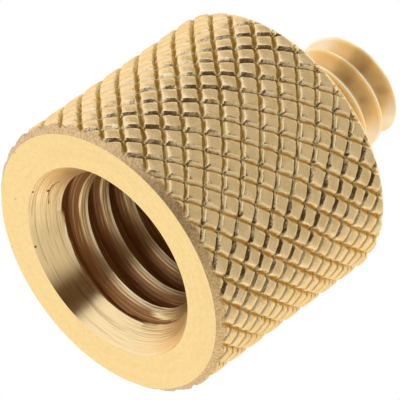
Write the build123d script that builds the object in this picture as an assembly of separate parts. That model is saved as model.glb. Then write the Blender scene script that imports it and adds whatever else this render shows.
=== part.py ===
from build123d import *
import os
from math import radians, tan

# Tripod thread adapter, turned in one piece from round brass bar and knurled.
# It stands on its ring-shaped face at Z = 0, with the tapped hole opening downwards
# and the screw pointing up. The axis of both threads is the Z axis. Sizes are in mm.

# Body
body_diameter = 15.6
body_length = 12.65
foot_bevel = 0.42
shoulder_bevel = 0.3

# Knurl: V grooves that wind both ways round the body and leave square lands between them
knurl_grooves_each_way = 32
knurl_axial_spacing = 1.41
knurl_depth = 0.18
knurl_groove_angle = 90.0

# Tapped hole, 3/8 in with 16 turns to the inch, drawn plain at the crests of its thread
hole_crest_diameter = 7.8
countersink_diameter = 10.95
countersink_angle = 70.0
drilled_depth = 9.2
drill_point_angle = 118.0

# Screw, 1/4 in with 20 turns to the inch, drawn plain at the crests of its thread
screw_crest_diameter = 6.2
screw_length = 6.65
screw_end_chamfer = 0.45

# How far each knurl groove is wound past both ends of the body, so that it cuts them cleanly
overrun = 0.5

UP = (Align.CENTER, Align.CENTER, Align.MIN)

body_radius = body_diameter / 2
hole_radius = hole_crest_diameter / 2
countersink_radius = countersink_diameter / 2
countersink_depth = (countersink_radius - hole_radius) / tan(radians(countersink_angle / 2))
drill_point_height = hole_radius / tan(radians(drill_point_angle / 2))
screw_radius = screw_crest_diameter / 2


def turned_body():
    """The bar, faced at both ends and bevelled at both rims."""
    body = Cylinder(body_radius, body_length, align=UP)
    foot_rim = body.edges().filter_by(GeomType.CIRCLE).sort_by(Axis.Z)[0]
    body = chamfer(foot_rim, foot_bevel)
    shoulder_rim = body.edges().filter_by(GeomType.CIRCLE).sort_by(Axis.Z)[-1]
    return chamfer(shoulder_rim, shoulder_bevel)


def screw():
    """The screw at the top, with its end chamfered."""
    shank = Pos(0, 0, body_length) * Cylinder(screw_radius, screw_length, align=UP)
    end_rim = shank.edges().filter_by(GeomType.CIRCLE).sort_by(Axis.Z)[-1]
    return chamfer(end_rim, screw_end_chamfer)


def hole():
    """The space of the hole: countersink, drilled wall and the drill's point."""
    wall = Cylinder(hole_radius, drilled_depth, align=UP)
    point = Pos(0, 0, drilled_depth) * Cone(hole_radius, 0, drill_point_height, align=UP)
    mouth = Cone(countersink_radius, hole_radius, countersink_depth, align=UP)
    return wall + point + mouth


def knurl_groove(left_hand):
    """The space of one V groove, wound over the whole length of the body."""
    lead = knurl_grooves_each_way * knurl_axial_spacing
    path = Pos(0, 0, -overrun) * Helix(
        pitch=lead, height=body_length + 2 * overrun, radius=body_radius, lefthand=left_hand)
    start = path @ 0
    across = Plane(origin=start, x_dir=Vector(start.X, start.Y, 0).normalized(), z_dir=path % 0)
    clear = knurl_depth / 2
    half_width = (knurl_depth + clear) * tan(radians(knurl_groove_angle / 2))
    section = across * make_face(Polyline(
        (-knurl_depth, 0), (clear, half_width), (clear, -half_width), close=True))
    return sweep(section, path=path, is_frenet=True)


def knurled(blank):
    """The blank with the grooves of both hands cut into its body."""
    for left_hand in (False, True):
        groove = knurl_groove(left_hand)
        blank -= [Rot(0, 0, 360 * turn / knurl_grooves_each_way) * groove
                  for turn in range(knurl_grooves_each_way)]
    return blank


blank = turned_body() + screw() - hole()
thread_adapter = knurled(blank)

os.makedirs("parts", exist_ok=True)
export_step(thread_adapter, "parts/thread_adapter.step")
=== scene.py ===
from math import atan2, ceil, cos, hypot, pi, radians, sin, tan

import bmesh
import bpy
from mathutils import Matrix, Vector, noise


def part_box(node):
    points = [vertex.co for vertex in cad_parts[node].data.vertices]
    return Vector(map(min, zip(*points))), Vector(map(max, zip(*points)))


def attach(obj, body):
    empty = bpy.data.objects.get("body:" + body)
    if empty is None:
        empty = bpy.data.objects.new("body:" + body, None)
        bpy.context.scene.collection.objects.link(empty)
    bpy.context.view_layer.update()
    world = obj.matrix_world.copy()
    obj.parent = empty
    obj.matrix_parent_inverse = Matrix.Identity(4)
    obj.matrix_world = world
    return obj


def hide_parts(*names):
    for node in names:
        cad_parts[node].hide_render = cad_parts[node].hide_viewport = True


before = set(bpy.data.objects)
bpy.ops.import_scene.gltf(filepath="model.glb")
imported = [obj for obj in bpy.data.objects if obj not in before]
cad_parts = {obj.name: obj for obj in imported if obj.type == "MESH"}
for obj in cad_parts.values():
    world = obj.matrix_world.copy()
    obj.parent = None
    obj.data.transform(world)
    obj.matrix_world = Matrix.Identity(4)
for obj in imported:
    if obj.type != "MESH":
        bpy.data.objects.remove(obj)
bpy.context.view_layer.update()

# Floor, light and camera: a small brass part photographed in a white light tent with a long lens.
# The camera looks at the part from below its foot, so the floor is drawn from above only
# and lets light from below through.

MM = 0.001
floor_radius = 300 * MM
floor_colour = (0.92, 0.92, 0.91, 1.0)

bm = bmesh.new()
bmesh.ops.create_circle(bm, cap_ends=True, segments=96, radius=floor_radius)
floor_mesh = bpy.data.meshes.new("floor")
bm.to_mesh(floor_mesh)
bm.free()
floor = bpy.data.objects.new("floor", floor_mesh)
bpy.context.scene.collection.objects.link(floor)
floor.visible_diffuse = False
floor.visible_glossy = False
floor.visible_transmission = False
floor.visible_shadow = False


def put(tree, kind, sockets=None, **settings):
    """Adds a node with its settings. Each socket named or numbered gets a value or a link."""
    made = tree.nodes.new("ShaderNode" + kind)
    for name, value in settings.items():
        setattr(made, name, value)
    for socket, value in (sockets or {}).items():
        if isinstance(value, bpy.types.NodeSocket):
            tree.links.new(value, made.inputs[socket])
        else:
            made.inputs[socket].default_value = value
    return made


def ease(tree, value, start, end, low=0.0, high=1.0):
    """A smooth step from low to high, as the value goes from start to end."""
    return put(tree, "MapRange", {"Value": value, "From Min": start, "From Max": end,
                                  "To Min": low, "To Max": high}, interpolation_type="SMOOTHSTEP").outputs[0]


def calculate(tree, operation, first, second=0.0):
    return put(tree, "Math", {0: first, 1: second}, operation=operation).outputs[0]


def mix_colour(tree, share, first, second):
    """The first colour where the share is 0, and the second where it is 1."""
    return put(tree, "Mix", {"Factor": share, "A": first, "B": second}, data_type="RGBA").outputs["Result"]


floor_paint = bpy.data.materials.new("floor paint")
floor_paint.use_nodes = True
tree = floor_paint.node_tree
paint = tree.nodes["Principled BSDF"]
paint.inputs["Base Color"].default_value = floor_colour
paint.inputs["Roughness"].default_value = 0.9
clear = put(tree, "BsdfTransparent")
one_sided = put(tree, "MixShader", {
    "Fac": put(tree, "NewGeometry").outputs["Backfacing"], 1: paint.outputs[0], 2: clear.outputs[0]})
tree.links.new(one_sided.outputs[0], tree.nodes["Material Output"].inputs["Surface"])
floor_mesh.materials.append(floor_paint)

# The tent is white for whatever looks at it, but metal sees its walls: the left one bright and cool,
# the back one bright, the right one dimmer with a patch of light low in it, the top half lit, and in
# front a grey gap with the dark brown lens in it.
camera_elevation = radians(-34.43)
to_camera = Vector((0, -cos(camera_elevation), sin(camera_elevation)))
above_camera = Vector((0, sin(camera_elevation), cos(camera_elevation)))
lens_direction = to_camera - Vector((0.15, 0, 0))
patch_direction = Vector((0.9, 0.25, -0.3))
top_direction = above_camera - 0.35 * to_camera
lens_brightness = 0.06
gap_brightness = 0.32
right_brightness = 0.76
patch_brightness = 0.3
back_brightness = 1.08
white = (1, 1, 1, 1)
left_light = (1.12, 1.16, 1.30, 1)
top_light = (0.60, 0.58, 0.52, 1)
lens_tint = (1.1, 0.55, 0.25, 1)
ambient_light = (0.6, 0.6, 0.6, 1)
# where the light changes softly from one thing to the next: how far a direction points along an axis,
# from 1 straight along it through 0 across it to -1 against it, at the start of the change and its end
lens_edge = (0.64, 0.88)
right_edge = (-0.02, 0.50)
back_edge = (0.35, -0.35)
patch_edge = (0.84, 0.97)
left_edge = (-0.36, -0.46)
top_edge = (0.3, 0.6)
# the top light ends before the middle of the back wall, and reaches further back at the sides
top_back_edge = (-0.35, -0.15)
top_side_reach = 0.4
# the lens's brown fades away between these brightnesses
tint_fade = (0.10, 0.32)

world = bpy.data.worlds.new("light tent")
bpy.context.scene.world = world
world.use_nodes = True
tree = world.node_tree
direction = put(tree, "TexCoord").outputs["Generated"]


def towards(axis):
    """How far the direction points along an axis."""
    return put(tree, "VectorMath", {0: direction, 1: axis}, operation="DOT_PRODUCT").outputs["Value"]


rightwards, forwards = towards((1, 0, 0)), towards(to_camera)
gap = ease(tree, towards(lens_direction), *lens_edge, low=gap_brightness, high=lens_brightness)
right_wall = ease(tree, rightwards, *right_edge, high=right_brightness)
back_wall = ease(tree, forwards, *back_edge, high=back_brightness)
walls = calculate(tree, "MAXIMUM", calculate(tree, "MAXIMUM", gap, right_wall), back_wall)
patch = ease(tree, towards(patch_direction), *patch_edge, high=patch_brightness)
walls = calculate(tree, "ADD", walls, patch)
wall_tint = mix_colour(tree, ease(tree, walls, *tint_fade), lens_tint, white)
walls = put(tree, "VectorMath", {0: wall_tint, 1: walls}, operation="MULTIPLY").outputs[0]
sides = mix_colour(tree, ease(tree, rightwards, *left_edge), walls, left_light)
sideways = calculate(tree, "MULTIPLY", calculate(tree, "ABSOLUTE", rightwards), top_side_reach)
overhead = calculate(tree, "MULTIPLY", ease(tree, towards(top_direction), *top_edge),
                     ease(tree, calculate(tree, "ADD", forwards, sideways), *top_back_edge))
tent = mix_colour(tree, overhead, sides, top_light)
rays = put(tree, "LightPath").outputs
for_metal = mix_colour(tree, rays["Is Glossy Ray"], ambient_light, tent)
plain_white = calculate(tree, "MAXIMUM", rays["Is Camera Ray"], rays["Is Transmission Ray"])
light = mix_colour(tree, plain_white, for_metal, white)
tree.links.new(light, tree.nodes["Background"].inputs["Color"])


def soft_lamp(name, place, size, power):
    """A square soft lamp that points at the middle of the part. The tent's cloth hides it from the metal."""
    light = bpy.data.lights.new(name, "AREA")
    light.size = size
    light.energy = power
    lamp = bpy.data.objects.new(name, light)
    lamp.location = place
    lamp.rotation_euler = (-Vector(place)).to_track_quat("-Z", "Y").to_euler()
    lamp.visible_camera = False
    lamp.visible_glossy = False
    bpy.context.scene.collection.objects.link(lamp)


soft_lamp("overhead softbox", place=(-0.25, -0.15, 0.55), size=0.5, power=2.2)
soft_lamp("side softbox", place=(0.5, 0.3, 0.25), size=0.4, power=0.8)

view_target = Vector((0.18, 0, 6.85)) * MM
view_distance = 293.7 * MM
view_roll = radians(54.25)
lens_length = 515.84

lens = bpy.data.cameras.new("long lens")
lens.lens = lens_length
lens.sensor_width = 36
lens.clip_start = 0.01
camera = bpy.data.objects.new("camera", lens)
level = to_camera.to_track_quat("Z", "Y").to_matrix().to_4x4()
camera.matrix_world = (
    Matrix.Translation(view_target + view_distance * to_camera) @ level @ Matrix.Rotation(view_roll, 4, "Z"))
bpy.context.scene.collection.objects.link(camera)
bpy.context.scene.camera = camera
bpy.context.scene.view_settings.view_transform = "Standard"


# Knurled bar: the body is round brass bar with V grooves rolled into it both ways, which leave
# square lands between them. Rolling leaves the lands a little crowned and their corners round.

top_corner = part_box("thread_adapter")[1]
body_radius = top_corner[0]
body_length = 12.65 * MM
foot_bevel = 0.42 * MM
shoulder_bevel = 0.3 * MM
groove_count = 32
groove_spacing = 1.41 * MM
groove_depth = 0.23 * MM
# the grooves of one hand are a little narrower than those of the other
groove_half_widths = (0.155 * MM, 0.165 * MM)
cell_angle = 2 * pi / groove_count
cell_width = cell_angle * body_radius
square_pitch = 1 / hypot(1 / cell_width, 1 / groove_spacing)
# where the pattern starts, in cells along each of the two groove directions
pattern_start = (0.598, 0.866)
middle_height = 6.34 * MM
front_angle = radians(271)
# how far a groove strays from its line and how ragged its edges are, each with the size of its waves
groove_stray, stray_size = 0.05 * MM, 1.9 * MM
edge_raggedness, ragged_size = 0.06 * MM, 0.26 * MM
# without a seed the grooves would stray differently in each run
noise.seed_set(4)
# how a land's top varies: crowned, dipped, rough and rounded over at its edges and corners
land_crown = 0.03 * MM
land_dip, dip_size = 0.05 * MM, 0.95 * MM
land_roughness, rough_size = 0.012 * MM, 0.24 * MM
edge_round_width = 0.07 * MM
edge_round_drop = 0.018 * MM
corner_rounding = 0.6
# the dips lie elsewhere in the noise than the roughness
dip_start = Vector((70, 0, 0))
# the grooves of one hand get less of the darkening (dirt and painted shade) than those of the other
less_darkened_hand = 0.25
# points nearer to each other than this become one, and twice as far apart where the wall is cut or closed
near = 0.002 * MM
# points this near to where the wall was cut are moved onto the cut
cut_reach = 0.005 * MM

FINISHES = (
    "knurled brass", "bevelled brass", "faced brass", "countersunk brass", "tapped brass", "die-cut brass")
KNURLED, BEVELLED, FACED, COUNTERSUNK, TAPPED, DIE_CUT = range(len(FINISHES))


def pattern_place(angle, height):
    """Where a point of the bar lies in the pattern, in cells along both groove directions."""
    turn = (angle - front_angle + pi) % (2 * pi) - pi
    along, up = turn / cell_angle, (height - middle_height) / groove_spacing
    return along + up + pattern_start[0], along - up + pattern_start[1]


def on_bar(angle, height, radius):
    """A point at an angle round the axis, a height and a distance from the axis."""
    return Vector((radius * cos(angle), radius * sin(angle), height))


def knurl(angle, height):
    """How far the knurl lies below the bar's surface at a point, and how much dirt and painted shade
    darken it there, from 0 on a land to 1 at the bottom of a groove of the darker hand."""
    spot = on_bar(angle, height, body_radius)
    slopes, crown, edge_round = [], 1.0, 0.0
    for place, half_width in zip(pattern_place(angle, height), groove_half_widths):
        off_land = abs(place - round(place))
        to_groove = (0.5 - off_land) * square_pitch - half_width
        slopes.append(-to_groove / half_width)
        crown *= 1 - (2 * off_land) ** 2
        edge_round = max(edge_round, 1 - to_groove / edge_round_width)
    # the deeper of the two grooves counts, with a soft change where their walls meet
    meeting = max(corner_rounding - abs(slopes[0] - slopes[1]), 0)
    share = max(slopes) + meeting ** 2 / (4 * corner_rounding)
    share = min(max(share, 0), 1)
    dip = land_dip * (0.5 + 0.5 * noise.noise(spot / dip_size + dip_start))
    rough = land_roughness * (0.5 + 0.5 * noise.noise(spot / rough_size))
    land = land_crown * (1 - crown) + edge_round_drop * min(edge_round, 1) + dip + rough
    # the grooves darken towards their bottoms: partly dirt, partly painted shade
    dirt_and_shade = min(max(slopes[0], less_darkened_hand * slopes[1], 0), 1)
    return groove_depth * share + land * (1 - share), dirt_and_shade


def lines_across(half_width):
    """The mesh's lines across one land, from groove to groove, in shares of the pitch. To each side
    of the middle they are one on the land's top, one on each side of its rounded edge, one on
    the groove's wall and one at its bottom."""
    top, bottom = 0.12, 0.5
    edge = bottom - half_width / square_pitch
    on_wall = bottom - 0.4 * (bottom - edge)
    half = (top, edge - edge_round_width / square_pitch, edge, on_wall, bottom)
    return [-line for line in reversed(half)] + list(half)


def knurled_wall():
    """The knurled surface between the bevels, one column of cells copied round the bar."""
    bm = bmesh.new()
    up_lines, down_lines = (lines_across(half_width) for half_width in reversed(groove_half_widths))
    count = len(up_lines) - 1
    bmesh.ops.create_grid(bm, x_segments=count, y_segments=count, size=0.5)
    for v in bm.verts:
        v.co.x = up_lines[round((v.co.x + 0.5) * count)]
        v.co.y = down_lines[round((v.co.y + 0.5) * count)]
    # a cell of the flat pattern: x runs along the bar's girth and y up its axis
    slant = Matrix(((0.5 * cell_width, 0.5 * cell_width, 0, 0),
                    (-0.5 * groove_spacing, 0.5 * groove_spacing, 0, 0),
                    (0, 0, 1, 0), (0, 0, 0, 1)))
    bmesh.ops.transform(bm, matrix=slant, verts=bm.verts)
    one_cell = bm.verts[:] + bm.edges[:] + bm.faces[:]
    # the cell nearest to the middle of the front, from the pattern's start there
    to_land = [-p if p < 0.5 else 1 - p for p in pattern_start]
    first_along = (to_land[0] + to_land[1]) / 2 * cell_width
    first_up = middle_height + (to_land[0] - to_land[1]) / 2 * groove_spacing
    rows = ceil(body_length / groove_spacing) + 2
    for half in (0, 1):
        for row in range(-rows, rows):
            up = first_up + (row + half / 2) * groove_spacing
            if not -groove_spacing < up < body_length + groove_spacing:
                continue
            copy = bmesh.ops.duplicate(bm, geom=one_cell)
            verts = [g for g in copy["geom"] if isinstance(g, bmesh.types.BMVert)]
            bmesh.ops.translate(bm, verts=verts, vec=(first_along + half * cell_width / 2, up, 0))
    bmesh.ops.delete(bm, geom=[g for g in one_cell if isinstance(g, bmesh.types.BMVert)], context="VERTS")
    bmesh.ops.remove_doubles(bm, verts=bm.verts, dist=near)
    for height, side in ((foot_bevel, -1), (body_length - shoulder_bevel, 1)):
        bmesh.ops.bisect_plane(
            bm, geom=bm.verts[:] + bm.edges[:] + bm.faces[:], dist=2 * near,
            plane_co=(0, height, 0), plane_no=(0, side, 0), clear_outer=True)
        for v in bm.verts:
            if abs(v.co.y - height) < cut_reach:
                v.co.y = height
    for v in bm.verts:
        v.co = on_bar(front_angle + v.co.x / body_radius, v.co.y, body_radius)
    bmesh.ops.spin(
        bm, geom=bm.verts[:] + bm.edges[:] + bm.faces[:], cent=(0, 0, 0), axis=(0, 0, 1),
        angle=2 * pi, steps=groove_count, use_duplicate=True)
    bmesh.ops.remove_doubles(bm, verts=bm.verts, dist=2 * near)
    depth = bm.verts.layers.float.new("groove")
    for v in bm.verts:
        angle = atan2(v.co.y, v.co.x)
        cut, v[depth] = knurl(angle, v.co.z)
        # the pattern strays a little, but not up or down at the bevels
        inside = min(v.co.z - foot_bevel, body_length - shoulder_bevel - v.co.z) / groove_spacing
        stray = (noise.noise_vector(v.co / stray_size) * groove_stray
                 + noise.noise_vector(v.co / ragged_size) * edge_raggedness)
        height = v.co.z + stray.z * min(max(inside, 0), 1)
        v.co = on_bar(angle + stray.x / body_radius, height, body_radius - cut)
    return bm


def open_edge(bm, height):
    """The open edge of a surface at one height."""
    return [e for e in bm.edges
            if e.is_boundary and all(abs(v.co.z - height) < near / 2 for v in e.verts)]


def grow(bm, edges, height, radius, finish):
    """Extends an open edge to another height and radius, and returns the new edge. radius may be
    a number or a function of the angle."""
    made = bmesh.ops.extrude_edge_only(bm, edges=edges)["geom"]
    for g in made:
        if isinstance(g, bmesh.types.BMVert):
            angle = atan2(g.co.y, g.co.x)
            g.co = on_bar(angle, height, radius(angle) if callable(radius) else radius)
        elif isinstance(g, bmesh.types.BMFace):
            g.material_index = finish
    return [g for g in made if isinstance(g, bmesh.types.BMEdge) and g.is_boundary]


bevel_roughness, torn_size = 0.04 * MM, 0.25 * MM
# the rows of faces over a bevel or a cone, as how much of the way is left at the end of each
row_ends = (0.8, 0.6, 0.4, 0.2, 0.0)
# each row of a bevel keeps this much of the groove darkening (dirt and painted shade) in the row before it
darkening_left = 0.6


def bevel_rim(bm, wall_height, rim_height, roughness, finish):
    """Carries the knurled wall on over a bevel, where the grooves run out. The cutter leaves
    the bevel uneven."""
    groove = bm.verts.layers.float["groove"]
    edges = open_edge(bm, wall_height)
    for share in row_ends:
        height = rim_height + share * (wall_height - rim_height)
        bevel_radius = body_radius - (1 - share) * abs(wall_height - rim_height)

        def radius(angle):
            torn = roughness * abs(noise.noise(on_bar(angle, height, body_radius) / torn_size))
            return min(bevel_radius - torn * share, body_radius - knurl(angle, height)[0])

        edges = grow(bm, edges, height, radius, finish)
        for v in {v for e in edges for v in e.verts}:
            v[groove] *= darkening_left


bar = knurled_wall()
bevel_rim(bar, foot_bevel, 0, bevel_roughness, BEVELLED)
bevel_rim(bar, body_length - shoulder_bevel, body_length, 0, FACED)


# Tapped hole: countersunk at 70 degrees, drilled blind and tapped 3/8-16 from the foot. The tap's
# lead leaves the last turns shallower. The thread is the profile of one pitch wound up the axis.

countersink_radius = 5.475 * MM
countersink_slope = tan(radians(35))
# the thread's roots start shallow behind the countersink's ragged lip, and soon reach their depth
countersink_lip = 4.42 * MM
lip_height = (countersink_radius - countersink_lip) / countersink_slope
lip_width, lip_slope = 0.05 * MM, 1.6
lip_roughness, lip_waviness = 0.02 * MM, 9.0
hole_crest_radius = 3.9 * MM
hole_pitch = 25.4 / 16 * MM
hole_thread_height = 0.70 * MM
hole_steps = 240
# the countersink was cut after the thread, so the thread's stain stops over this width beside it
stain_fade = 0.12 * MM
tapped_depth = 8.0 * MM
tap_lead = 2.2 * MM
drilled_depth = 9.2 * MM
drill_point_height = hole_crest_radius / tan(radians(59))
# the height of a crest on the far wall, straight behind the middle of the mouth
hole_crest_height = 2.54 * MM
far_side, near_side = radians(90), radians(270)


def wound(profile, pitch, steps, low_height, high_height, crest_angle, crest_height):
    """A thread's surface between two heights: profile is one pitch of it as (radius, height),
    which starts and ends at a crest, and a crest stands at the given angle and height."""
    bm = bmesh.new()
    turns = ceil((high_height - low_height) / pitch) + 2
    first = crest_height - pitch * (ceil((crest_height - low_height) / pitch) + 1)
    points = [bm.verts.new((radius, 0, first + height)) for radius, height in profile]
    rows = [bm.edges.new(pair) for pair in zip(points, points[1:])]
    bmesh.ops.rotate(bm, cent=(0, 0, 0), matrix=Matrix.Rotation(crest_angle, 3, "Z"), verts=points)
    bmesh.ops.spin(
        bm, geom=points + rows, cent=(0, 0, 0), axis=(0, 0, 1), angle=2 * pi, steps=steps,
        dvec=(0, 0, pitch / steps))
    one_turn = bm.verts[:] + bm.edges[:] + bm.faces[:]
    for turn in range(1, turns):
        copy = bmesh.ops.duplicate(bm, geom=one_turn)
        verts = [g for g in copy["geom"] if isinstance(g, bmesh.types.BMVert)]
        bmesh.ops.translate(bm, verts=verts, vec=(0, 0, turn * pitch))
    bmesh.ops.remove_doubles(bm, verts=bm.verts, dist=near)
    for height, side in ((low_height, -1), (high_height, 1)):
        bmesh.ops.bisect_plane(
            bm, geom=bm.verts[:] + bm.edges[:] + bm.faces[:], dist=0.1 * near,
            plane_co=(0, 0, height), plane_no=(0, 0, side), clear_outer=True)
    return bm


def countersunk_to(height):
    """The countersink's radius at a height."""
    return countersink_radius - height * countersink_slope


def reshape(bm, crest_radius, thread_height, radius, finish):
    """Moves each point out or in to the radius that the function gives, and notes how deep
    in the thread it lies."""
    depth = bm.verts.layers.float.new("groove")
    for v in bm.verts:
        was = hypot(v.co.x, v.co.y)
        angle = atan2(v.co.y, v.co.x)
        now = radius(was, angle, v.co.z)
        off_countersink = max(now - countersunk_to(v.co.z), 0) / stain_fade
        v[depth] = min(abs(now - crest_radius) / thread_height, off_countersink, 1)
        v.co = on_bar(angle, v.co.z, now)
    for f in bm.faces:
        f.material_index = finish


def in_hole(radius, angle, height):
    """The radius of a point of the thread after the tap's lead and the countersink have shaped it."""
    torn = lip_roughness * noise.noise(on_bar(angle, height / MM, lip_waviness))
    lip = countersink_lip + max(height - lip_height - lip_width, 0) * lip_slope + torn
    lead = hole_crest_radius + hole_thread_height * max(min((tapped_depth - height) / tap_lead, 1), 0)
    return max(min(radius, lip, lead), countersunk_to(height))


# one pitch: from a crest's sharp far edge up its far flank to the root, along the root, and down
# the flank that faces the mouth, which is rounded over into the next crest
root_radius = hole_crest_radius + hole_thread_height
flank_angle, crest_lean = radians(30), radians(62)
hole_far_flank = hole_thread_height * tan(flank_angle)
root_round_depth, root_round_width = 0.03 * MM, 0.04 * MM
arc_points = 12
arc_radius = hole_thread_height / (sin(crest_lean) - sin(flank_angle))
arc_height = arc_radius * (cos(flank_angle) - cos(crest_lean))
hole_profile = [(hole_crest_radius, 0), (root_radius - root_round_depth, hole_far_flank),
                (root_radius, hole_far_flank + root_round_width)]
for point in range(arc_points + 1):
    lean = flank_angle + (crest_lean - flank_angle) * point / arc_points
    hole_profile.append((root_radius - arc_radius * (sin(lean) - sin(flank_angle)),
                         hole_pitch - arc_height + arc_radius * (cos(flank_angle) - cos(lean))))

# the thread's surface starts inside the countersink, which is plain from there down to the mouth
mouth_height = 1.4 * MM
hole = wound(hole_profile, hole_pitch, hole_steps, mouth_height, tapped_depth, far_side, hole_crest_height)
reshape(hole, hole_crest_radius, hole_thread_height, in_hole, TAPPED)
edge = open_edge(hole, mouth_height)
for share in row_ends:
    height = mouth_height * share
    edge = grow(hole, edge, height, countersunk_to(height), COUNTERSUNK)
edge = grow(hole, open_edge(hole, tapped_depth), drilled_depth, hole_crest_radius, TAPPED)
# the cone that the drill's point left, closed at its tip
for share in (0.6, 0.2, 0.02):
    height = drilled_depth + drill_point_height * (1 - share)
    edge = grow(hole, edge, height, hole_crest_radius * share, TAPPED)
last_ring = list(dict.fromkeys(v for e in edge for v in e.verts))
bmesh.ops.pointmerge(hole, verts=last_ring, merge_co=(0, 0, drilled_depth + drill_point_height))


# Screw: the bar's other end, turned down and threaded 1/4-20 with a die. The thread runs out into
# a short plain shank at the shoulder, and the end is faced and chamfered.

screw_radius = 3.1 * MM
screw_end = top_corner[2]
screw_pitch = 25.4 / 20 * MM
screw_thread_height = 0.75 * MM
screw_steps = 120
screw_chamfer = 0.45 * MM
shank_length = 0.7 * MM
shank_end = body_length + shank_length
thread_run_out = 0.9 * MM
# the height of a crest on the near side
screw_crest_height = 17.48 * MM


def end_cone(height):
    """The radius of the chamfer's cone at a height."""
    return screw_radius - screw_chamfer + (screw_end - height)


def die_cut(radius, angle, height):
    """The radius of a point of the thread after its run-out and the chamfer have shaped it."""
    run_out = screw_radius - screw_thread_height * max(min((height - shank_end) / thread_run_out, 1), 0)
    return min(max(radius, run_out), end_cone(height))


# one pitch: over a narrow crest, whose far edge the die has rounded, down the far flank, and
# from the root's hollow straight up the near flank to the next crest
crest_edge, crest_round = 0.01 * MM, 0.16 * MM
crest_slope = radians(22)
screw_root = screw_radius - screw_thread_height
round_drop = crest_round * tan(crest_slope)
far_flank = (screw_thread_height - round_drop) * tan(flank_angle)
near_flank = screw_thread_height * tan(flank_angle)
screw_profile = [(screw_radius, 0), (screw_radius, crest_edge),
                 (screw_radius - round_drop, crest_edge + crest_round),
                 (screw_root, crest_edge + crest_round + far_flank),
                 (screw_root, screw_pitch - crest_edge - near_flank),
                 (screw_radius - 0.5 * screw_thread_height, screw_pitch - crest_edge - 0.5 * near_flank),
                 (screw_radius, screw_pitch - crest_edge), (screw_radius, screw_pitch)]

# the thread's surface starts a little way down the shank, where it is plain already
threaded_from = shank_end - 0.2 * MM
screw = wound(
    screw_profile, screw_pitch, screw_steps, threaded_from, screw_end, near_side, screw_crest_height)
for v in screw.verts:
    v.co.z = min(v.co.z, screw_end)
reshape(screw, screw_radius, screw_thread_height, die_cut, DIE_CUT)
for f in screw.faces:
    if all(abs(hypot(v.co.x, v.co.y) - end_cone(v.co.z)) < near for v in f.verts):
        f.material_index = FACED
grow(screw, open_edge(screw, threaded_from), body_length, screw_radius, DIE_CUT)
end_face = bmesh.ops.triangle_fill(screw, use_beauty=True, edges=open_edge(screw, screw_end))
for g in end_face["geom"]:
    if isinstance(g, bmesh.types.BMFace):
        g.material_index = FACED


# The three surfaces are one piece of metal: the faced ring at the foot joins the wall to the hole,
# and the faced shoulder joins it to the screw.

adapter_mesh = bpy.data.meshes.new("thread_adapter_brass")
whole = bmesh.new()
for surface in (bar, hole, screw):
    surface.to_mesh(adapter_mesh)
    whole.from_mesh(adapter_mesh)
    surface.free()
for height in (0, body_length):
    ring = bmesh.ops.triangle_fill(whole, use_beauty=True, edges=open_edge(whole, height))
    for g in ring["geom"]:
        if isinstance(g, bmesh.types.BMFace):
            g.material_index = FACED
bmesh.ops.recalc_face_normals(whole, faces=whole.faces)
whole.to_mesh(adapter_mesh)
whole.free()
sharp_from = radians(22)
adapter_mesh.polygons.foreach_set("use_smooth", [True] * len(adapter_mesh.polygons))
adapter_mesh.set_sharp_from_angle(angle=sharp_from)
adapter = bpy.data.objects.new("thread_adapter_brass", adapter_mesh)
bpy.context.scene.collection.objects.link(adapter)


# Finish: the brass is bare and unlacquered. Every surface keeps the marks of the tool that made it,
# and the dirt, stain and scratches that came later; some colours are painted shade, highlight and
# reflection.
# First come the patterns that these are made of: turning marks, marks along a thread, the metal's grain, and
# scratches.


def new_group(name, inputs, outputs):
    """An empty shader group with sockets given as name and kind."""
    group = bpy.data.node_groups.new(name, "ShaderNodeTree")
    for in_out, sockets in (("INPUT", inputs), ("OUTPUT", outputs)):
        for socket, kind in sockets.items():
            group.interface.new_socket(name=socket, in_out=in_out, socket_type="NodeSocket" + kind)
    start = group.nodes.new("NodeGroupInput")
    end = group.nodes.new("NodeGroupOutput")
    return group, start.outputs, end.inputs


def add_streaks(group, place, result):
    """Fine marks at a place that changes quickly across them, with dark lines and streaks among them."""
    fine = put(group, "TexNoise", {"Vector": place, "Scale": 1.0, "Detail": 3.0, "Roughness": 0.65})
    broad = put(group, "TexNoise", {"Vector": place, "Scale": 0.4, "Detail": 3.0})
    group.links.new(fine.outputs["Fac"], result["Height"])
    group.links.new(ease(group, fine.outputs["Fac"], start=0.46, end=0.36), result["Lines"])
    group.links.new(ease(group, broad.outputs["Fac"], start=0.46, end=0.66), result["Streaks"])


def round_the_axis(group, position, amount):
    """A point on a circle that follows a place round the axis, and the place's radius."""
    flat = put(group, "VectorMath", {0: position, 1: (1, 1, 0)}, operation="MULTIPLY").outputs[0]
    outwards = put(group, "VectorMath", {0: flat}, operation="NORMALIZE").outputs[0]
    radius = put(group, "VectorMath", {0: flat}, operation="LENGTH").outputs["Value"]
    return put(group, "VectorMath", {0: outwards, "Scale": amount}, operation="SCALE").outputs[0], radius


def turning_marks():
    """Marks that a lathe tool leaves round the axis."""
    group, given, result = new_group(
        "turning marks", {"Position": "Vector", "Marks per mm": "Float", "Change round": "Float"},
        {"Height": "Float", "Lines": "Float", "Streaks": "Float"})
    round_axis, radius = round_the_axis(group, given["Position"], given["Change round"])
    across = calculate(group, "MULTIPLY", calculate(group, "DIVIDE", radius, MM), given["Marks per mm"])
    place = put(group, "VectorMath", {
        0: round_axis, 1: put(group, "CombineXYZ", {"Z": across}).outputs[0]}, operation="ADD").outputs[0]
    add_streaks(group, place, result)
    return group


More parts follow.
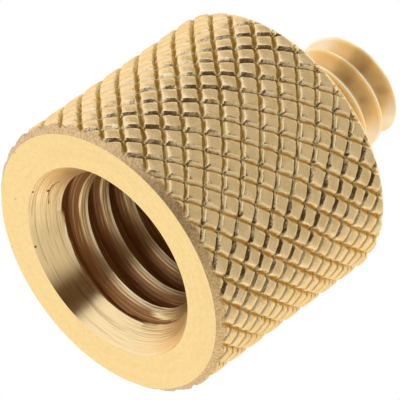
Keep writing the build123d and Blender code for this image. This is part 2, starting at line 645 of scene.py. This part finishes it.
def thread_marks():
    """Marks that a tap or a die leaves along a right-hand thread. The place across the thread is
    laid on a circle, so that one turn's marks meet the next one's."""
    group, given, result = new_group(
        "thread marks",
        {"Position": "Vector", "Pitch": "Float", "Marks per mm": "Float", "Change round": "Float"},
        {"Height": "Float", "Lines": "Float", "Streaks": "Float"})
    round_axis, radius = round_the_axis(group, given["Position"], given["Change round"])
    sides = put(group, "SeparateXYZ", {0: given["Position"]}).outputs
    angle = calculate(group, "ARCTAN2", sides["Y"], sides["X"])
    turns = calculate(group, "DIVIDE", sides["Z"], given["Pitch"])
    across = calculate(group, "SUBTRACT", calculate(group, "MULTIPLY", turns, 2 * pi), angle)
    reach = calculate(group, "MULTIPLY", given["Pitch"], given["Marks per mm"])
    reach = calculate(group, "DIVIDE", reach, 2 * pi * MM)
    outwards = calculate(group, "MULTIPLY", calculate(group, "DIVIDE", radius, MM), given["Marks per mm"])
    circle = put(group, "CombineXYZ", {
        "X": calculate(group, "MULTIPLY", calculate(group, "COSINE", across), reach),
        "Y": calculate(group, "MULTIPLY", calculate(group, "SINE", across), reach),
        "Z": outwards}).outputs[0]
    place = put(group, "VectorMath", {0: circle, 1: round_axis}, operation="ADD").outputs[0]
    add_streaks(group, place, result)
    return group


def metal_grain():
    """An uneven metal surface: small lumps, and wide patches that differ a little."""
    group, given, result = new_group(
        "metal grain", {"Position": "Vector", "Lumps per mm": "Float"},
        {"Height": "Float", "Patches": "Float"})
    in_mm = put(group, "VectorMath", {0: given["Position"], "Scale": 1 / MM}, operation="SCALE").outputs[0]
    lumps = put(group, "TexNoise", {
        "Vector": in_mm, "Scale": given["Lumps per mm"], "Detail": 3.0, "Roughness": 0.6})
    patches = put(group, "TexNoise", {"Vector": in_mm, "Scale": 1.7, "Detail": 2.0})
    group.links.new(lumps.outputs["Fac"], result["Height"])
    group.links.new(ease(group, patches.outputs["Fac"], start=0.35, end=0.65), result["Patches"])
    return group


def scratch():
    """A scratch between two places, or a pit where they are the same: 1 along its middle. Made wide, it is a
    patch of painted reflection.
    """
    group, given, result = new_group(
        "scratch", {"Position": "Vector", "Start": "Vector", "End": "Vector", "Width": "Float"},
        {"Mask": "Float"})
    along = put(group, "VectorMath", {0: given["End"], 1: given["Start"]}, operation="SUBTRACT").outputs[0]
    here = put(group, "VectorMath", {
        0: given["Position"], 1: given["Start"]}, operation="SUBTRACT").outputs[0]
    reach = put(group, "VectorMath", {0: here, 1: along}, operation="DOT_PRODUCT").outputs["Value"]
    square = put(group, "VectorMath", {0: along, 1: along}, operation="DOT_PRODUCT").outputs["Value"]
    share = put(group, "Clamp", {0: calculate(group, "DIVIDE", reach, square)}).outputs[0]
    nearest = put(group, "VectorMath", {0: along, "Scale": share}, operation="SCALE").outputs[0]
    distance = put(group, "VectorMath", {0: here, 1: nearest}, operation="DISTANCE").outputs["Value"]
    in_widths = calculate(group, "DIVIDE", distance, given["Width"])
    group.links.new(ease(group, in_widths, start=0.6, end=0.25), result["Mask"])
    return group


# The six finishes are the knurled wall, the bevel at the foot, the faced ends, the countersink, and
# the threads of the hole and the screw. Brass is pale where it is rubbed, and dull or brown where it
# holds dirt or stain. The thread crests' paleness is also a painted highlight, the knurl's grooves hold
# painted shade as well as dirt, and the screw's brown patches are a painted reflection of the lens.

turned, threaded, grain, scratched = turning_marks(), thread_marks(), metal_grain(), scratch()
knurl_brass, dull_knurl_brass = (0.99, 0.74, 0.44, 1), (0.86, 0.63, 0.31, 1)
face_brass, dull_face_brass = (0.99, 0.725, 0.315, 1), (0.90, 0.64, 0.29, 1)
cut_brass = (0.98, 0.73, 0.37, 1)
bevel_brass, dull_bevel_brass = (0.80, 0.55, 0.27, 1), (0.56, 0.37, 0.17, 1)
scratch_brass = (0.22, 0.12, 0.05, 1)
baked_brass = (0.24, 0.065, 0.007, 1)
# the knurl's grooves: dirt, with painted shade
groove_dirt_and_shade_brass = (0.46, 0.35, 0.16, 1)
# the screw's stain colour also paints its reflections of the dark lens
screw_brass, screw_stain_and_reflection_brass = (0.89, 0.69, 0.43, 1), (0.38, 0.25, 0.10, 1)
# pale crests: rubbed metal with a painted highlight
rubbed_and_highlight_brass, rubbed_and_highlight_screw_brass = (0.95, 0.80, 0.48, 1), (1.0, 0.87, 0.62, 1)
# brass that is seen almost edge-on stays this warm
warm_edge = (1.0, 0.78, 0.45, 1)


def brass(name):
    """A new metal surface, with its node tree, the shader's sockets and the place on the object."""
    material = bpy.data.materials.new(name)
    material.use_nodes = True
    metal = material.node_tree.nodes["Principled BSDF"].inputs
    metal["Metallic"].default_value = 1
    adapter_mesh.materials.append(material)
    return material.node_tree, metal, put(material.node_tree, "TexCoord").outputs["Object"]


def use(tree, group, **given):
    """The outputs of a group placed with these inputs. A _ stands for a space in an input's name."""
    return put(tree, "Group", {name.replace("_", " "): value for name, value in given.items()},
               node_tree=group).outputs


def scratches_and_painted_reflections(tree, place, lines):
    """The scratches and pits of one surface, and its patches of painted reflection. Each line is its width
    in mm and the places it passes through, as (degrees round the axis, radius in mm, height in mm)."""
    mask = 0.0
    for width, *points in lines:
        points = [on_bar(radians(angle), height * MM, radius * MM) for angle, radius, height in points]
        for start, end in zip(points, points[1:] or points):
            here = use(tree, scratched, Position=place, Start=start, End=end, Width=width * MM)["Mask"]
            mask = calculate(tree, "MAXIMUM", mask, here)
    return mask


def roughen(tree, metal, height, depth):
    """Turns a height pattern into the surface's fine shape."""
    bump = put(tree, "Bump", {"Height": height, "Distance": depth, "Strength": 1.0})
    tree.links.new(bump.outputs[0], metal["Normal"])


def groove_depth_here(tree):
    """How deep a point lies in a groove or a thread, from 0 at its top to 1 at its bottom."""
    return put(tree, "Attribute", attribute_name="groove").outputs["Fac"]


def finish_knurled(name):
    """Bright mottled lands, and grooves darkened by dirt and painted shade."""
    most_dirt_and_shade, patch_share, mottle_share = 0.95, 0.65, 0.35
    tree, metal, place = brass(name)
    surface = use(tree, grain, Position=place, Lumps_per_mm=8.0)
    # painted shade, with dirt, darkens the grooves towards their bottoms
    dirt_and_shade = ease(tree, groove_depth_here(tree), start=-0.1, end=0.45, high=most_dirt_and_shade)
    mottle = ease(tree, surface["Height"], start=0.6, end=0.4, high=mottle_share)
    dulled = calculate(tree, "ADD", calculate(tree, "MULTIPLY", surface["Patches"], patch_share), mottle)
    colour = mix_colour(tree, dulled, knurl_brass, dull_knurl_brass)
    tree.links.new(mix_colour(tree, dirt_and_shade, colour, groove_dirt_and_shade_brass), metal["Base Color"])
    metal["Roughness"].default_value = 0.22
    metal["Specular Tint"].default_value = warm_edge
    roughen(tree, metal, surface["Height"], 0.02 * MM)


def finish_bevelled(name):
    """Dull, torn metal."""
    tree, metal, place = brass(name)
    surface = use(tree, grain, Position=place, Lumps_per_mm=9.0)
    shade = ease(tree, surface["Height"], start=0.38, end=0.62)
    tree.links.new(mix_colour(tree, shade, dull_bevel_brass, bevel_brass), metal["Base Color"])
    metal["Roughness"].default_value = 0.45
    roughen(tree, metal, surface["Height"], 0.025 * MM)


face_pits = [
    (0.16, (147, 6.40, 0)), (0.13, (172, 7.32, 0)), (0.13, (119, 7.28, 0)), (0.13, (37, 5.44, 0))]


def finish_faced(name):
    """Smooth faces with faint turning marks and a few pits."""
    streak_share, grain_share, pit_share, mark_share = 0.25, 0.5, 0.4, 0.4
    tree, metal, place = brass(name)
    marks = use(tree, turned, Position=place, Marks_per_mm=6.0, Change_round=3.0)
    surface = use(tree, grain, Position=place, Lumps_per_mm=4.0)
    shade = calculate(tree, "ADD", calculate(tree, "MULTIPLY", marks["Streaks"], streak_share),
                      ease(tree, surface["Height"], start=0.42, end=0.62, high=grain_share))
    colour = mix_colour(tree, shade, face_brass, dull_face_brass)
    pits = calculate(tree, "MULTIPLY", scratches_and_painted_reflections(tree, place, face_pits), pit_share)
    tree.links.new(mix_colour(tree, pits, colour, scratch_brass), metal["Base Color"])
    metal["Roughness"].default_value = 0.3
    fine = calculate(tree, "MULTIPLY", marks["Height"], mark_share)
    roughen(tree, metal, calculate(tree, "ADD", fine, surface["Height"]), 0.003 * MM)


countersink_scratches = [
    (0.20, (161, 4.97, 0.72)),
    (0.05, (172, 4.79, 0.98), (167, 4.92, 0.80), (161, 4.96, 0.74), (149, 4.87, 0.86)),
    (0.14, (160, 5.44, 0.05)), (0.14, (121, 5.44, 0.05))]


def finish_countersunk(name):
    """Bright cut metal with fine rings, a scratch and a few pits."""
    line_share, streak_share = 0.35, 0.06
    tree, metal, place = brass(name)
    marks = use(tree, turned, Position=place, Marks_per_mm=13.0, Change_round=0.8)
    shade = calculate(tree, "ADD", calculate(tree, "MULTIPLY", marks["Lines"], line_share),
                      calculate(tree, "MULTIPLY", marks["Streaks"], streak_share))
    colour = mix_colour(tree, shade, cut_brass, baked_brass)
    scored = scratches_and_painted_reflections(tree, place, countersink_scratches)
    tree.links.new(mix_colour(tree, scored, colour, scratch_brass), metal["Base Color"])
    # the fine rings spread a reflection across them only
    metal["Roughness"].default_value = 0.28
    metal["Anisotropic"].default_value = 0.9
    metal["Anisotropic Rotation"].default_value = 0.25
    height = calculate(tree, "SUBTRACT", marks["Height"], scored)
    roughen(tree, metal, height, 0.035 * MM)


def finish_threaded(name, pitch, crest, flank, stain_and_reflection_colour, stain_from, stain_to, stain_amount,
                    mark_depth, painted_reflections):
    """Pale crests, rubbed and with a painted highlight, flanks stained from one depth in the thread to
    another, and any patches of painted reflection.
    """
    unevenness, painted_reflection_share, thinner_share, matt_share = 1.6, 0.35, 0.3, 0.6
    tree, metal, place = brass(name)
    # the crests' pale colour is rubbed metal with a painted highlight
    bright = mix_colour(tree, ease(tree, groove_depth_here(tree), start=0.02, end=0.2), crest, flank)
    marks = use(tree, threaded, Position=place, Pitch=pitch, Marks_per_mm=11.0, Change_round=0.8)
    uneven = calculate(tree, "MULTIPLY", calculate(tree, "SUBTRACT", marks["Height"], 0.5), unevenness)
    streaky = calculate(tree, "ADD", groove_depth_here(tree), uneven)
    stain_and_reflection = ease(tree, streaky, stain_from, stain_to, high=stain_amount)
    # painted reflection: dark patches where the flanks mirror the lens
    painted_reflection = calculate(tree, "MULTIPLY", scratches_and_painted_reflections(tree, place, painted_reflections), painted_reflection_share)
    stain_and_reflection = calculate(tree, "MAXIMUM", stain_and_reflection, painted_reflection)
    # the stain lies in streaks too, thinner in some
    thinner = mix_colour(tree, thinner_share, stain_and_reflection_colour, bright)
    streaked = mix_colour(tree, ease(tree, marks["Height"], start=0.5, end=0.68), stain_and_reflection_colour, thinner)
    tree.links.new(mix_colour(tree, stain_and_reflection, bright, streaked), metal["Base Color"])
    # a thick stain is partly matt, and so is a painted reflection
    matt = calculate(tree, "MULTIPLY", stain_and_reflection, matt_share * stain_amount)
    tree.links.new(calculate(tree, "SUBTRACT", 1.0, matt), metal["Metallic"])
    metal["Roughness"].default_value = 0.28
    metal["Specular Tint"].default_value = warm_edge
    roughen(tree, metal, marks["Height"], mark_depth)


# painted reflection: the dark lens mirrored in the screw's flanks, given as patches
screw_lens_reflections = [
    (1.5, (252, 3.0, 18.4), (252, 2.5, 18.1)), (1.5, (253, 3.0, 17.15), (253, 2.5, 16.85)),
    (0.9, (295, 2.75, 18.35)), (0.9, (294, 2.75, 16.95))]

finish_knurled(FINISHES[KNURLED])
finish_bevelled(FINISHES[BEVELLED])
finish_faced(FINISHES[FACED])
finish_countersunk(FINISHES[COUNTERSUNK])
finish_threaded(
    FINISHES[TAPPED], hole_pitch, rubbed_and_highlight_brass, cut_brass, baked_brass,
    stain_from=0.04, stain_to=0.42, stain_amount=0.94, mark_depth=0.03 * MM, painted_reflections=[])
finish_threaded(
    FINISHES[DIE_CUT], screw_pitch, rubbed_and_highlight_screw_brass, screw_brass, screw_stain_and_reflection_brass,
    stain_from=0.6, stain_to=1.6, stain_amount=0.2, mark_depth=0.01 * MM, painted_reflections=screw_lens_reflections)

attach(adapter, "root")
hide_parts("thread_adapter")
